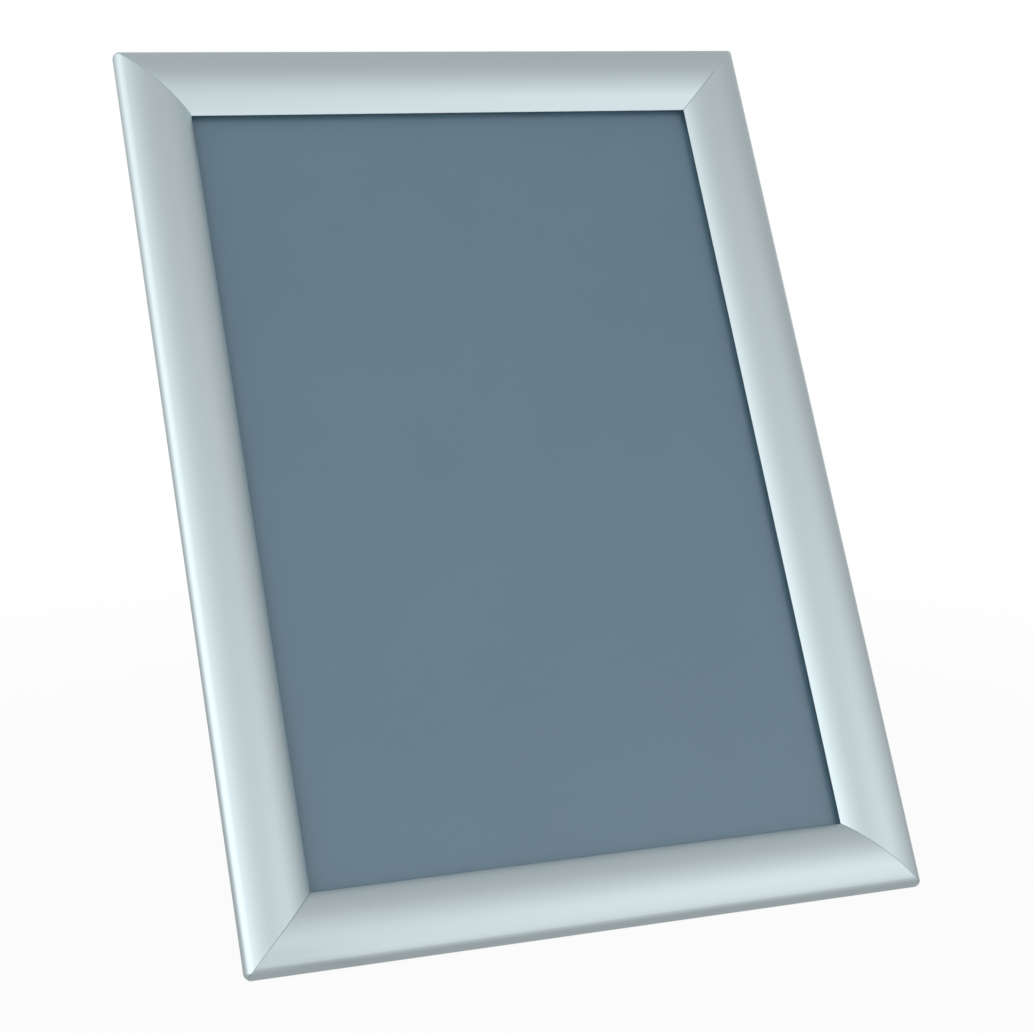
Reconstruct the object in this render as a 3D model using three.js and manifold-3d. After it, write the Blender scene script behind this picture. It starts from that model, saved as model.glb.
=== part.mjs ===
// Aluminium snap frame for an A4 poster, leaning back on a fold-out easel strut.
// Millimetres, +Z up, the front towards -Y, resting on Z = 0.

import * as THREE from "three";
import { mergeVertices } from "three/addons/utils/BufferGeometryUtils.js";
import Module from "manifold-3d";

const wasm = await Module();
wasm.setup();

// Sheets
const SHEET_WIDTH = 210;
const SHEET_HEIGHT = 297;
const SHEET_LAP = 10; // how far a front rail covers the edge of a sheet
const PANEL_THICKNESS = 1.2;
const COVER_THICKNESS = 0.5;
const POSTER_ROOM = 0.4; // slot between panel and cover

// Clearances
const SEAT_GAP = 0.15; // between faces that rest on each other
const SHEET_PLAY = 0.3; // sheet edge to the stop rib
const MITRE_GAP = 0.3; // across each mitre joint
const HINGE_CLEARANCE = 0.07; // bead in its socket
const FOOT_GAP = 0.2; // front rail above the cover
const KEY_PLAY = 0.3; // corner key to each side of its channel
const SHELF_CLEARANCE = 0.35; // spring shelf above the key channel
const RIB_CLEARANCE = 0.4; // spring rib beside the stop rib
const PIN_CLEARANCE = 0.1;
const EAR_GAP = 0.3; // strut barrel between its ears
const HEEL_GAP = 0.3; // open strut to its stop

// Front rail: a rounded extrusion that hinges on its outer edge
const RAIL_WIDTH = 25;
const RAIL_DEPTH = 11; // from the wall to the crown
const CROWN_FROM_LIP = 13.7;
const LID_WALL = 1.3;
const WALL_FOOT = 4.75; // lower edge of the outer wall, from the wall
const SHOULDER_RADIUS = 4.5;
const CORNER_ROUND = 2; // outer corners of the frame, seen from the front
const FOOT_NICK = 0.5; // height of the nick in the wall's foot at each mitre
const LIP_RADIUS = 0.2;
const LIP_RISE = 1.9; // lip above the foot that presses on the cover
const FOOT_SETBACK = 2.2; // pressing foot behind the lip
const FOOT_WALL = 1.2;
const SPRING_RIB = 1;
const SHELF_REACH = 1.3;
const SHELF_WALL = 0.6;

// Hinge: a bead on the front rail that turns in a socket on the base rail
const OPEN_ANGLE = 90;
const HINGE_INSET = 2.75; // bead centre from the outer face
const HINGE_HEIGHT = 3;
const BEAD_RADIUS = 1.13;
const SOCKET_WALL = 0.95;
const NECK_SIDE = 132; // direction of the neck's outer side from the bead
const NECK_ANGLE = 34; // round the bead
const NECK_REACH = 0.2; // neck beyond the socket, before it turns to the shoulder
const NECK_ROOT = 160; // where the neck meets the inside of the shoulder, round its centre
const HINGE_SLACK = 6; // degrees between the neck and each end of the socket
const BEAD_RELIEF = 0.1; // cut round the trimmed end of a bead

// Base rail
const BASE_FLOOR = 1.2;
const LEDGE_SETBACK = 2; // inner edge of the base behind the lip
const UPRIGHT_OFFSET = 0.3; // from the socket to the spring upright
const UPRIGHT_WALL = 1;
const UPRIGHT_HEIGHT = 4; // from the floor to the bottom of the fork's groove
const FORK_GROOVE = 1.2;
const FORK_DEPTH = 1;
const FORK_WALL = 0.6;
const STOP_WALL = 0.8;
const CHANNEL_LIP = 1; // overhang that holds the corner key down
const CHANNEL_LIP_WALL = 0.75;
const SCREW_HOLE = 4.5;
const SCREW_PITCH = 210;

// Corner key
const KEY_THICKNESS = 1.2;
const KEY_LEG = 36;
const KEY_CORNER = 1;

// Snap springs
const SPRING_THICKNESS = 0.4;
const SPRING_WIDTH = 18;
const SPRING_BOW = 86; // half of the angle that the bowed strip turns through
const SPRING_PITCH_SHORT = 100;
const SPRING_PITCH_LONG = 150;

// Easel strut
const LEAN = 30; // frame back from upright
const STRUT_OPEN = 45;
const PIVOT_UP = 200; // along the back from the bottom edge
const TAPE_THICKNESS = 0.8;
const TAPE_MARGIN = 3; // plate edge beyond the tape
const PLATE_WIDTH = 46;
const PLATE_ABOVE_PIVOT = 13;
const PLATE_BELOW_PIVOT = 49;
const PLATE_THICKNESS = 2;
const PLATE_CORNER = 6;
const PIVOT_STANDOFF = 3.6; // pin centre behind the plate
const EAR_RADIUS = 3.2;
const EAR_ROOT = 13;
const EAR_THICKNESS = 4;
const BARREL_LENGTH = 16;
const BARREL_RADIUS = 2.9;
const PIN_RADIUS = 1.5;
const PIN_HEAD_RADIUS = 2.6;
const PIN_HEAD = 1;
const PIN_TAIL = 0.6;
const HEEL_RISE = 3.5;
const LEG_DEPTH = 6;
const LEG_FOLD_GAP = 1; // folded leg behind the plate
const LEG_WEB = 2;
const LEG_WALL = 2.2;
const LEG_RIB = 2;
const LEG_BAYS = 3;
const LEG_NECK = 9; // narrow length below the pin
const LEG_FLARE = 9; // length over which it widens
const LEG_TOP_WIDTH = 32;
const LEG_FOOT_WIDTH = 44;
const LEG_FOOT_WALL = 5;
const LEG_CORNER = 2;
const FOOT_PAD = 2;

// Depth of a facet on a round surface
const FACET_DEPTH = 0.012;

// Finishes
const ANODISED = { color: 0xb9c8cc, roughness: 0.34, metalness: 0.9 };
const MILL_ALUMINIUM = { color: 0xaab3b6, roughness: 0.45, metalness: 0.9 };
const ZINC_STEEL = { color: 0x9aa0a3, roughness: 0.4, metalness: 1 };
const SPRING_STEEL = { color: 0x6f7679, roughness: 0.3, metalness: 1 };
const GREY_PANEL = { color: 0x657b89, roughness: 0.6, metalness: 0 };
const CLEAR_SHEET = { color: 0xdfe8ec, roughness: 0.35, metalness: 0, transparent: true, opacity: 0.2 };
const DARK_PLASTIC = { color: 0x3a4146, roughness: 0.55, metalness: 0 };
const FOAM = { color: 0xe4e4dc, roughness: 0.9, metalness: 0 };
const RUBBER = { color: 0x1d2022, roughness: 0.85, metalness: 0 };

const { degToRad, radToDeg } = THREE.MathUtils;
const at = (x, y) => new THREE.Vector2(x, y);
const sine = (angle) => Math.sin(degToRad(angle));
const cosine = (angle) => Math.cos(degToRad(angle));
const tangent = (angle) => Math.tan(degToRad(angle));
const heading = (from, to) => radToDeg(Math.atan2(to.y - from.y, to.x - from.x));
const polar = (from, radius, angle) => at(from.x + radius * cosine(angle), from.y + radius * sine(angle));

// Points along an arc, from one angle to another.
function arc(centre, radius, from, to) {
  const step = 2 * Math.acos(1 - FACET_DEPTH / radius);
  const count = Math.max(2, Math.ceil(Math.abs(degToRad(to - from)) / step));
  return Array.from({ length: count + 1 }, (_, i) => polar(centre, radius, from + ((to - from) * i) / count));
}

// A closed outline with all its corners rounded.
function rounded(corners, radius) {
  return corners.flatMap((corner, i) => {
    const before = corners.at(i - 1).clone().sub(corner).normalize();
    const after = corners[(i + 1) % corners.length].clone().sub(corner).normalize();
    const half = Math.acos(before.dot(after)) / 2;
    const centre = before.clone().add(after).setLength(radius / Math.sin(half)).add(corner);
    const start = before.setLength(radius / Math.tan(half)).add(corner);
    const finish = after.setLength(radius / Math.tan(half)).add(corner);
    const from = heading(centre, start);
    const turn = THREE.MathUtils.euclideanModulo(heading(centre, finish) - from + 180, 360) - 180;
    return arc(centre, radius, from, from + turn);
  });
}

// An outline without points that repeat their neighbour.
const shapeOf = (points, holes = []) => {
  const shape = new THREE.Shape(points.filter((point, i) => point.distanceTo(points.at(i - 1)) > 1e-6));
  shape.holes = holes.map((hole) => new THREE.Path(hole));
  return shape;
};

// A sheet, plate or board: an outline in X and Y with its back face at z.
function plate(outline, z, thickness) {
  const sheet = new THREE.ExtrudeGeometry(shapeOf(outline), { depth: thickness, bevelEnabled: false });
  return sheet.translate(0, 0, z);
}

// A section in Y and Z, extruded along X.
function across(section, width, holes = []) {
  const alongX = new THREE.Matrix4().set(0, 0, 1, 0, 1, 0, 0, 0, 0, 1, 0, 0, 0, 0, 0, 1);
  return new THREE.ExtrudeGeometry(shapeOf(section, holes), { depth: width, bevelEnabled: false })
    .translate(0, 0, -width / 2)
    .applyMatrix4(alongX);
}

// A rail with both ends cut at 45 degrees. In its section y runs inwards from the outer face of the frame.
function mitredRail(section, length) {
  const rail = across(section, 1);
  const half = length / 2 - MITRE_GAP * Math.SQRT1_2;
  const points = rail.getAttribute("position");
  for (let i = 0; i < points.count; i++) {
    points.setX(i, Math.sign(points.getX(i)) * (half - points.getY(i)));
  }
  rail.computeVertexNormals();
  return rail;
}

// A solid from a closed surface, without the faces that shut to a line when its points are welded.
function solidOf(geometry) {
  const loose = geometry.index ? geometry.toNonIndexed() : geometry;
  const bare = new THREE.BufferGeometry().setAttribute("position", loose.getAttribute("position"));
  const welded = mergeVertices(bare, 1e-4);
  const vertProperties = welded.getAttribute("position").array;
  const corners = welded.index.array;
  const whole = (i) => new Set(corners.slice(i - (i % 3), i - (i % 3) + 3)).size === 3;
  const triVerts = new Uint32Array(corners.filter((_, i) => whole(i)));
  return new wasm.Manifold(new wasm.Mesh({ numProp: 3, vertProperties, triVerts }));
}

function geometryOf(solid) {
  const { vertProperties, triVerts } = solid.getMesh();
  const geometry = new THREE.BufferGeometry();
  geometry.setAttribute("position", new THREE.BufferAttribute(vertProperties, 3));
  geometry.setIndex(new THREE.BufferAttribute(triVerts, 1));
  const faceted = geometry.toNonIndexed();
  faceted.computeVertexNormals();
  return faceted;
}

function piece(name, geometry, finish) {
  const mesh = new THREE.Mesh(geometry, new THREE.MeshStandardMaterial(finish));
  mesh.name = name;
  return mesh;
}

// Heights in the rail section, from the wall forwards
const panelBack = BASE_FLOOR + SEAT_GAP;
const coverBack = panelBack + PANEL_THICKNESS + POSTER_ROOM;
const pressFoot = coverBack + COVER_THICKNESS + FOOT_GAP;
const lipTop = pressFoot + LIP_RISE;
const keyBack = BASE_FLOOR + SEAT_GAP;
const channelLipFoot = keyBack + KEY_THICKNESS + SEAT_GAP;
const channelLipTop = channelLipFoot + CHANNEL_LIP_WALL;
const shelfFoot = channelLipTop + SHELF_CLEARANCE;
const shelfTop = shelfFoot + SHELF_WALL;
const forkFloor = BASE_FLOOR + UPRIGHT_HEIGHT;

// The hinge line and the room that its neck turns through
const socketInside = BEAD_RADIUS + HINGE_CLEARANCE;
const socketOutside = socketInside + SOCKET_WALL;
const hinge = at(HINGE_INSET, HINGE_HEIGHT);
const neckInner = NECK_SIDE - NECK_ANGLE;
const socketHigh = neckInner - HINGE_SLACK;
const socketLow = NECK_SIDE + OPEN_ANGLE + HINGE_SLACK - 360;

// Places across the rail, from its outer face inwards
const sheetEdge = RAIL_WIDTH - SHEET_LAP;
const stopInner = sheetEdge - SHEET_PLAY;
const stopOuter = stopInner - STOP_WALL;
const ribInner = stopOuter - RIB_CLEARANCE;
const ribOuter = ribInner - SPRING_RIB;
const uprightOuter = hinge.x + socketOutside + UPRIGHT_OFFSET;
const uprightInner = uprightOuter + UPRIGHT_WALL;
const forkCentre = (uprightOuter + uprightInner) / 2;

const pressInner = RAIL_WIDTH - FOOT_SETBACK;
const pressOuter = pressInner - FOOT_WALL;

// The rounded front is one arc from shoulder to lip
const crownDrop = RAIL_DEPTH - lipTop;
const crownRadius = (CROWN_FROM_LIP ** 2 + crownDrop ** 2) / (2 * crownDrop);
const crown = at(RAIL_WIDTH - CROWN_FROM_LIP, RAIL_DEPTH - crownRadius);
const underside = crownRadius - LID_WALL;
const shoulder = underCrown(SHOULDER_RADIUS, SHOULDER_RADIUS);
const shoulderAngle = heading(crown, shoulder);

// Centre of a smaller arc that runs into the crown from inside.
function underCrown(y, radius) {
  return at(y, crown.y + Math.sqrt((crownRadius - radius) ** 2 - (y - crown.x) ** 2));
}

// Direction from the crown's centre to where an arc about it has a given distance from the outer face.
function crownAngle(y, radius) {
  return radToDeg(Math.acos((y - crown.x) / radius));
}

// The lip ends in a square edge clear of the cover. The foot that presses on the cover stands behind it.
function snapSection() {
  const lip = underCrown(RAIL_WIDTH - LIP_RADIUS, LIP_RADIUS);
  const lipAngle = heading(crown, lip);
  const edgeAngle = lipAngle - radToDeg(Math.asin(LIP_RADIUS / underside));
  return [
    at(0, WALL_FOOT),
    ...arc(shoulder, SHOULDER_RADIUS, 180, shoulderAngle),
    ...arc(crown, crownRadius, shoulderAngle, lipAngle),
    ...arc(lip, LIP_RADIUS, lipAngle, lipAngle - 90),
    ...arc(crown, underside, edgeAngle, crownAngle(pressInner, underside)),
    at(pressInner, pressFoot),
    at(pressOuter, pressFoot),
    ...arc(crown, underside, crownAngle(pressOuter, underside), crownAngle(ribInner, underside)),
    at(ribInner, shelfFoot),
    at(ribOuter - SHELF_REACH, shelfFoot),
    at(ribOuter - SHELF_REACH, shelfTop),
    at(ribOuter, shelfTop),
    ...arc(crown, underside, crownAngle(ribOuter, underside), shoulderAngle),
    ...arc(shoulder, SHOULDER_RADIUS - LID_WALL, shoulderAngle, NECK_ROOT),
    polar(hinge, socketOutside + NECK_REACH, neckInner),
    ...arc(hinge, BEAD_RADIUS, neckInner, NECK_SIDE - 360),
    at(hinge.x - (WALL_FOOT - hinge.y) / tangent(180 - NECK_SIDE), WALL_FOOT),
  ];
}

function baseSection() {
  const ledgeEdge = RAIL_WIDTH - LEDGE_SETBACK;
  const forkFoot = forkFloor - FORK_WALL;
  const forkTop = forkFloor + FORK_DEPTH;
  const groove = FORK_GROOVE / 2;
  const fork = groove + FORK_WALL;
  return [
    ...arc(hinge, socketOutside, socketLow, -90),
    at(hinge.x, 0),
    at(ledgeEdge, 0),
    at(ledgeEdge, BASE_FLOOR),
    at(stopInner, BASE_FLOOR),
    at(stopInner, channelLipTop),
    at(stopOuter - CHANNEL_LIP, channelLipTop),
    at(stopOuter - CHANNEL_LIP, channelLipFoot),
    at(stopOuter, channelLipFoot),
    at(stopOuter, BASE_FLOOR),
    at(uprightInner, BASE_FLOOR),
    at(uprightInner, channelLipFoot),
    at(uprightInner + CHANNEL_LIP, channelLipFoot),
    at(uprightInner + CHANNEL_LIP, channelLipTop),
    at(uprightInner, channelLipTop),
    at(uprightInner, forkFoot),
    at(forkCentre + fork, forkFoot),
    at(forkCentre + fork, forkTop),
    at(forkCentre + groove, forkTop),
    at(forkCentre + groove, forkFloor),
    at(forkCentre - groove, forkFloor),
    at(forkCentre - groove, forkTop),
    at(forkCentre - fork, forkTop),
    at(forkCentre - fork, forkFoot),
    at(uprightOuter, forkFoot),
    at(uprightOuter, hinge.y),
    ...arc(hinge, socketOutside, 0, socketHigh),
    ...arc(hinge, socketInside, socketHigh, socketLow),
  ];
}

// The strip stands in the fork and on the shelf, bowed up into the front rail.
function springSection() {
  const half = SPRING_THICKNESS / 2;
  const foot = at(forkCentre - FORK_GROOVE / 2 + SEAT_GAP + half, forkFloor + SEAT_GAP);
  const tip = at(ribOuter - SEAT_GAP - half, shelfTop + SEAT_GAP);
  const radius = foot.distanceTo(tip) / 2 / sine(SPRING_BOW);
  const chord = heading(foot, tip);
  const centre = polar(foot, radius, chord - 90 + SPRING_BOW);
  const first = chord + 90 + SPRING_BOW;
  const last = chord + 90 - SPRING_BOW;
  return [...arc(centre, radius + half, first, last), ...arc(centre, radius - half, last, first)];
}

// The room inside the frame's rounded corners, along one rail. There the front's curve turns about one point.
function roundedFront(length) {
  const straight = length / 2 - CORNER_ROUND;
  const curve = [
    ...arc(shoulder, SHOULDER_RADIUS, 180, shoulderAngle),
    ...arc(crown, crownRadius, shoulderAngle, 90),
  ];
  const outer = curve.filter(({ x }) => x < CORNER_ROUND).map(({ x, y }) => at(CORNER_ROUND - x, y));
  const peak = curve.find(({ x }) => x >= CORNER_ROUND);
  const turned = [at(0, 0), at(CORNER_ROUND, 0), ...outer, at(0, peak.y)];
  const facets = 8 * Math.ceil(Math.PI / 8 / Math.acos(1 - FACET_DEPTH / CORNER_ROUND));
  const corner = solidOf(new THREE.LatheGeometry(turned, facets).rotateX(Math.PI / 2));
  const middle = new THREE.BoxGeometry(2 * straight, 2 * RAIL_WIDTH, 3 * RAIL_DEPTH);
  const inside = new THREE.BoxGeometry(length, 2 * RAIL_WIDTH, 3 * RAIL_DEPTH);
  return solidOf(middle)
    .add(solidOf(inside.translate(0, CORNER_ROUND + RAIL_WIDTH, 0)))
    .add(corner.translate([straight, CORNER_ROUND, 0]))
    .add(corner.translate([-straight, CORNER_ROUND, 0]));
}

// The bead of a front rail is cut square, and the foot of its outer wall is nicked, so that open rails clear
// each other.
function snapRail(length) {
  const end = length / 2;
  const openFoot = hinge.x * (1 - cosine(OPEN_ANGLE)) - (WALL_FOOT - hinge.y) * sine(OPEN_ANGLE);
  const nickPlace = end - openFoot - MITRE_GAP + RAIL_WIDTH / 2;
  const nick = solidOf(new THREE.BoxGeometry(RAIL_WIDTH, 2 * LID_WALL, 2 * FOOT_NICK));
  const relief = socketInside + BEAD_RELIEF;
  const trimPlace = end - MITRE_GAP - hinge.x - BEAD_RADIUS + RAIL_WIDTH / 2;
  const trim = solidOf(new THREE.CylinderGeometry(relief, relief, RAIL_WIDTH, 24).rotateZ(Math.PI / 2));
  const rail = solidOf(mitredRail(snapSection(), length))
    .intersect(roundedFront(length))
    .subtract(trim.translate([trimPlace, hinge.x, hinge.y]))
    .subtract(trim.translate([-trimPlace, hinge.x, hinge.y]))
    .subtract(nick.translate([nickPlace, 0, WALL_FOOT]))
    .subtract(nick.translate([-nickPlace, 0, WALL_FOOT]));
  return geometryOf(rail);
}

const frameWidth = SHEET_WIDTH + 2 * sheetEdge;
const frameHeight = SHEET_HEIGHT + 2 * sheetEdge;
const sides = [
  { side: "bottom", turn: 0, length: frameWidth, reach: frameHeight / 2, springPitch: SPRING_PITCH_SHORT },
  { side: "right", turn: 90, length: frameHeight, reach: frameWidth / 2, springPitch: SPRING_PITCH_LONG },
  { side: "top", turn: 180, length: frameWidth, reach: frameHeight / 2, springPitch: SPRING_PITCH_SHORT },
  { side: "left", turn: 270, length: frameHeight, reach: frameWidth / 2, springPitch: SPRING_PITCH_LONG },
];

// The frame lies in X and Y about its centre, with its back on Z = 0, until it is leaned back.
const frame = new THREE.Group();

const base = baseSection();
const screw = new THREE.CylinderGeometry(SCREW_HOLE / 2, SCREW_HOLE / 2, 4 * BASE_FLOOR, 24);
const screwHole = solidOf(screw.rotateX(Math.PI / 2));
for (const { side, turn, length, reach, springPitch } of sides) {
  const rails = new THREE.Group();
  rails.rotation.z = degToRad(turn);
  frame.add(rails);

  let baseRail = mitredRail(base, length);
  if (length > SCREW_PITCH + 2 * KEY_LEG) {
    const left = screwHole.translate([-SCREW_PITCH / 2, (uprightInner + stopOuter) / 2, 0]);
    const right = screwHole.translate([SCREW_PITCH / 2, (uprightInner + stopOuter) / 2, 0]);
    baseRail = geometryOf(solidOf(baseRail).subtract(left).subtract(right));
  }
  rails.add(piece(`base_rail_${side}`, baseRail.translate(0, -reach, 0), MILL_ALUMINIUM));
  rails.add(piece(`snap_rail_${side}`, snapRail(length).translate(0, -reach, 0), ANODISED));
  [-1, 1].forEach((end, i) => {
    const spring = across(springSection(), SPRING_WIDTH).translate((end * springPitch) / 2, -reach, 0);
    rails.add(piece(`snap_spring_${side}_${i + 1}`, spring, SPRING_STEEL));
  });
}

// Each corner key is a flat angle with its legs in the channels of two base rails.
const keyOuter = uprightInner + KEY_PLAY;
const keyInner = stopOuter - KEY_PLAY;
const keyOutline = rounded(
  [
    at(keyOuter, keyOuter),
    at(keyOuter + KEY_LEG, keyOuter),
    at(keyOuter + KEY_LEG, keyInner),
    at(keyInner, keyInner),
    at(keyInner, keyOuter + KEY_LEG),
    at(keyOuter, keyOuter + KEY_LEG),
  ],
  KEY_CORNER,
);
const corners = [at(-1, -1), at(1, -1), at(1, 1), at(-1, 1)];
corners.forEach((corner, i) => {
  const key = piece(`corner_key_${i + 1}`, plate(keyOutline, keyBack, KEY_THICKNESS), ZINC_STEEL);
  key.position.set((corner.x * frameWidth) / 2, (corner.y * frameHeight) / 2, 0);
  key.rotation.z = degToRad(90 * i);
  frame.add(key);
});

const panel = new THREE.BoxGeometry(SHEET_WIDTH, SHEET_HEIGHT, PANEL_THICKNESS);
frame.add(piece("back_panel", panel.translate(0, 0, panelBack + PANEL_THICKNESS / 2), GREY_PANEL));
const cover = new THREE.BoxGeometry(SHEET_WIDTH, SHEET_HEIGHT, COVER_THICKNESS);
frame.add(piece("cover_sheet", cover.translate(0, 0, coverBack + COVER_THICKNESS / 2), CLEAR_SHEET));

// The strut's plate is taped to the panel. Its ears stand out behind and carry the pin.
const tapeBack = panelBack - SEAT_GAP - TAPE_THICKNESS;
const plateBack = tapeBack - SEAT_GAP - PLATE_THICKNESS;
const pivot = at(PIVOT_UP - frameHeight / 2, plateBack - PIVOT_STANDOFF);
const plateHigh = pivot.x + PLATE_ABOVE_PIVOT;
const plateLow = pivot.x - PLATE_BELOW_PIVOT;
const tabOutline = (inset) => {
  const side = PLATE_WIDTH / 2 - inset;
  const low = plateLow + inset;
  const high = plateHigh - inset;
  return rounded([at(-side, low), at(side, low), at(side, high), at(-side, high)], PLATE_CORNER - inset);
};
frame.add(piece("strut_tape", plate(tabOutline(TAPE_MARGIN), tapeBack, TAPE_THICKNESS), FOAM));

const bore = (centre) => arc(centre, PIN_RADIUS + PIN_CLEARANCE, 360, 0);
const earSection = [
  at(pivot.x - EAR_ROOT / 2, plateBack + PLATE_THICKNESS / 2),
  ...arc(pivot, EAR_RADIUS, 180, 360),
  at(pivot.x + EAR_ROOT / 2, plateBack + PLATE_THICKNESS / 2),
];
const earPlace = BARREL_LENGTH / 2 + EAR_GAP + EAR_THICKNESS / 2;
const ear = solidOf(across(earSection, EAR_THICKNESS, [bore(pivot)]));
const strutPlate = solidOf(plate(tabOutline(0), plateBack, PLATE_THICKNESS))
  .add(ear.translate([earPlace, 0, 0]))
  .add(ear.translate([-earPlace, 0, 0]));
frame.add(piece("strut_plate", geometryOf(strutPlate), DARK_PLASTIC));

const pinReach = earPlace + EAR_THICKNESS / 2 + SEAT_GAP;
const pinProfile = [
  at(0, -pinReach - PIN_TAIL),
  at(PIN_RADIUS, -pinReach - PIN_TAIL),
  at(PIN_RADIUS, pinReach),
  at(PIN_HEAD_RADIUS, pinReach),
  at(PIN_HEAD_RADIUS, pinReach + PIN_HEAD / 2),
  at(PIN_RADIUS, pinReach + PIN_HEAD),
  at(0, pinReach + PIN_HEAD),
];
const pin = piece("strut_pin", new THREE.LatheGeometry(pinProfile, 32).rotateZ(-Math.PI / 2), ZINC_STEEL);
pin.position.set(0, pivot.x, pivot.y);
frame.add(pin);

// The leg is drawn folded, about its pin, with its front face towards the panel.
const leg = new THREE.Group();
leg.position.set(0, pivot.x, pivot.y);
leg.rotation.x = degToRad(STRUT_OPEN);
frame.add(leg);

// The frame's lowest edge is on its bottom base rail, and the leg reaches down to the same level.
const lowest = Math.min(...base.map((point) => point.x * cosine(LEAN) + point.y * sine(LEAN)));
const pivotHeight = PIVOT_UP * cosine(LEAN) + pivot.y * sine(LEAN) - lowest;
const legTilt = STRUT_OPEN - LEAN;
const legFront = PIVOT_STANDOFF - LEG_FOLD_GAP;
const legBack = legFront - LEG_DEPTH;
const footAt = (z, height) => (height - pivotHeight + z * sine(legTilt)) / cosine(legTilt);
const footEnd = footAt(legBack, 0);

// The heel's slope meets the plate when the leg is open.
const heelReach = PIVOT_STANDOFF - HEEL_GAP;
const heelFront = (heelReach - legFront * cosine(STRUT_OPEN)) / sine(STRUT_OPEN);
const heelTop = at(HEEL_RISE, (heelReach - HEEL_RISE * sine(STRUT_OPEN)) / cosine(STRUT_OPEN));
const pinCentre = at(0, 0);
const neckSection = [
  at(-LEG_NECK - LEG_FLARE, legBack),
  at(-LEG_NECK, legBack),
  ...arc(pinCentre, BARREL_RADIUS, -90, 0),
  heelTop,
  at(heelFront, legFront),
  at(-LEG_NECK - LEG_FLARE, legFront),
];
const neck = solidOf(across(neckSection, BARREL_LENGTH, [bore(pinCentre)]));

const bladeTop = -LEG_NECK - LEG_FLARE;
const halfWidth = (y) => THREE.MathUtils.mapLinear(y, bladeTop, footEnd, LEG_TOP_WIDTH, LEG_FOOT_WIDTH) / 2;
const bladeOutline = rounded(
  [
    at(-halfWidth(footEnd), footEnd - LEG_CORNER),
    at(halfWidth(footEnd), footEnd - LEG_CORNER),
    at(halfWidth(bladeTop), bladeTop),
    at(BARREL_LENGTH / 2, -LEG_NECK),
    at(-BARREL_LENGTH / 2, -LEG_NECK),
    at(-halfWidth(bladeTop), bladeTop),
  ],
  LEG_CORNER,
);
let blade = solidOf(plate(bladeOutline, legBack, LEG_DEPTH)).add(neck);

// Bays between the cross ribs are open at the back.
const bayTop = bladeTop - LEG_WALL;
const bayPitch = (bayTop - footAt(legBack, LEG_FOOT_WALL)) / LEG_BAYS;
for (let i = 0; i < LEG_BAYS; i++) {
  const high = bayTop - i * bayPitch;
  const low = high - bayPitch + LEG_RIB;
  const bay = [
    at(LEG_WALL - halfWidth(low), low),
    at(halfWidth(low) - LEG_WALL, low),
    at(halfWidth(high) - LEG_WALL, high),
    at(LEG_WALL - halfWidth(high), high),
  ];
  const pocket = plate(rounded(bay, LEG_CORNER), legBack - LEG_DEPTH, 2 * LEG_DEPTH - LEG_WEB);
  blade = blade.subtract(solidOf(pocket));
}

// The foot is cut level with the table.
const footCut = new THREE.BoxGeometry(2 * LEG_FOOT_WIDTH, LEG_FOOT_WIDTH, 4 * LEG_DEPTH)
  .translate(0, -LEG_FOOT_WIDTH / 2, 0)
  .rotateX(degToRad(-legTilt))
  .translate(0, footAt(0, FOOT_PAD + SEAT_GAP), 0);
leg.add(piece("strut_leg", geometryOf(blade.subtract(solidOf(footCut))), DARK_PLASTIC));

const padDepth = LEG_DEPTH / cosine(legTilt);
const padSide = halfWidth(footEnd);
const padOutline = [
  at(-padSide, -padDepth / 2),
  at(padSide, -padDepth / 2),
  at(padSide, padDepth / 2),
  at(-padSide, padDepth / 2),
];
const pad = piece("strut_foot", plate(rounded(padOutline, LEG_CORNER), 0, FOOT_PAD), RUBBER);
pad.position.set(0, footAt(legFront - LEG_DEPTH / 2, 0), legFront - LEG_DEPTH / 2);
pad.rotation.x = degToRad(LEAN - 90 - STRUT_OPEN);
leg.add(pad);

// Lean the frame back and stand it on the table, centred on its own footprint.
frame.rotation.x = degToRad(90 - LEAN);
frame.position.z = (frameHeight / 2) * cosine(LEAN) - lowest;
const snapFrame = new THREE.Group();
snapFrame.add(frame);
const footprint = new THREE.Box3().setFromObject(snapFrame, true).getCenter(new THREE.Vector3());
frame.position.y -= footprint.y;

export default snapFrame;
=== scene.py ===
import math

import bmesh
import bpy
from mathutils import Matrix, Quaternion, Vector


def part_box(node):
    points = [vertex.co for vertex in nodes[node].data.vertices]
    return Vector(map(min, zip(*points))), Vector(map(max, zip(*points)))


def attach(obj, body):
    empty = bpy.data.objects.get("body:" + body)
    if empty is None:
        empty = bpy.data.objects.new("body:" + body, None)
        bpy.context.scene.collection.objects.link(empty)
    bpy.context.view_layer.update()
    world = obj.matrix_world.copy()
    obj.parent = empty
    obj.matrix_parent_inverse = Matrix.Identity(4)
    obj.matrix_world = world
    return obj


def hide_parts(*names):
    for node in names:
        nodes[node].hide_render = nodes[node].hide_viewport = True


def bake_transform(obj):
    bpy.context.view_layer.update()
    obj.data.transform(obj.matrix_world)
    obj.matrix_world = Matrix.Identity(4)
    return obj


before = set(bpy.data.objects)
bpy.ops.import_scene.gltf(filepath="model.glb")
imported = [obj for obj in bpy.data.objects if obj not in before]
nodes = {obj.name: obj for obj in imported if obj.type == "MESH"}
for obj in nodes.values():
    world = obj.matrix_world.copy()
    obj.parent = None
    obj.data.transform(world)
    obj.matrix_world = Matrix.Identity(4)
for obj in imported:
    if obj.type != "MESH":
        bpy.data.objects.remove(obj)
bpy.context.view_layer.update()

# Back rails
# Four aluminium extrusions in mill finish, cut to a mitre, that stay where the frame stands or hangs. Each
# has the hinge socket, the spring fork, the channel for the corner keys and the ledge for the sheets.
LEAN = math.radians(30)
PANEL_MIDDLE = 0.00195  # middle of the back panel in front of the frame's back face
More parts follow.
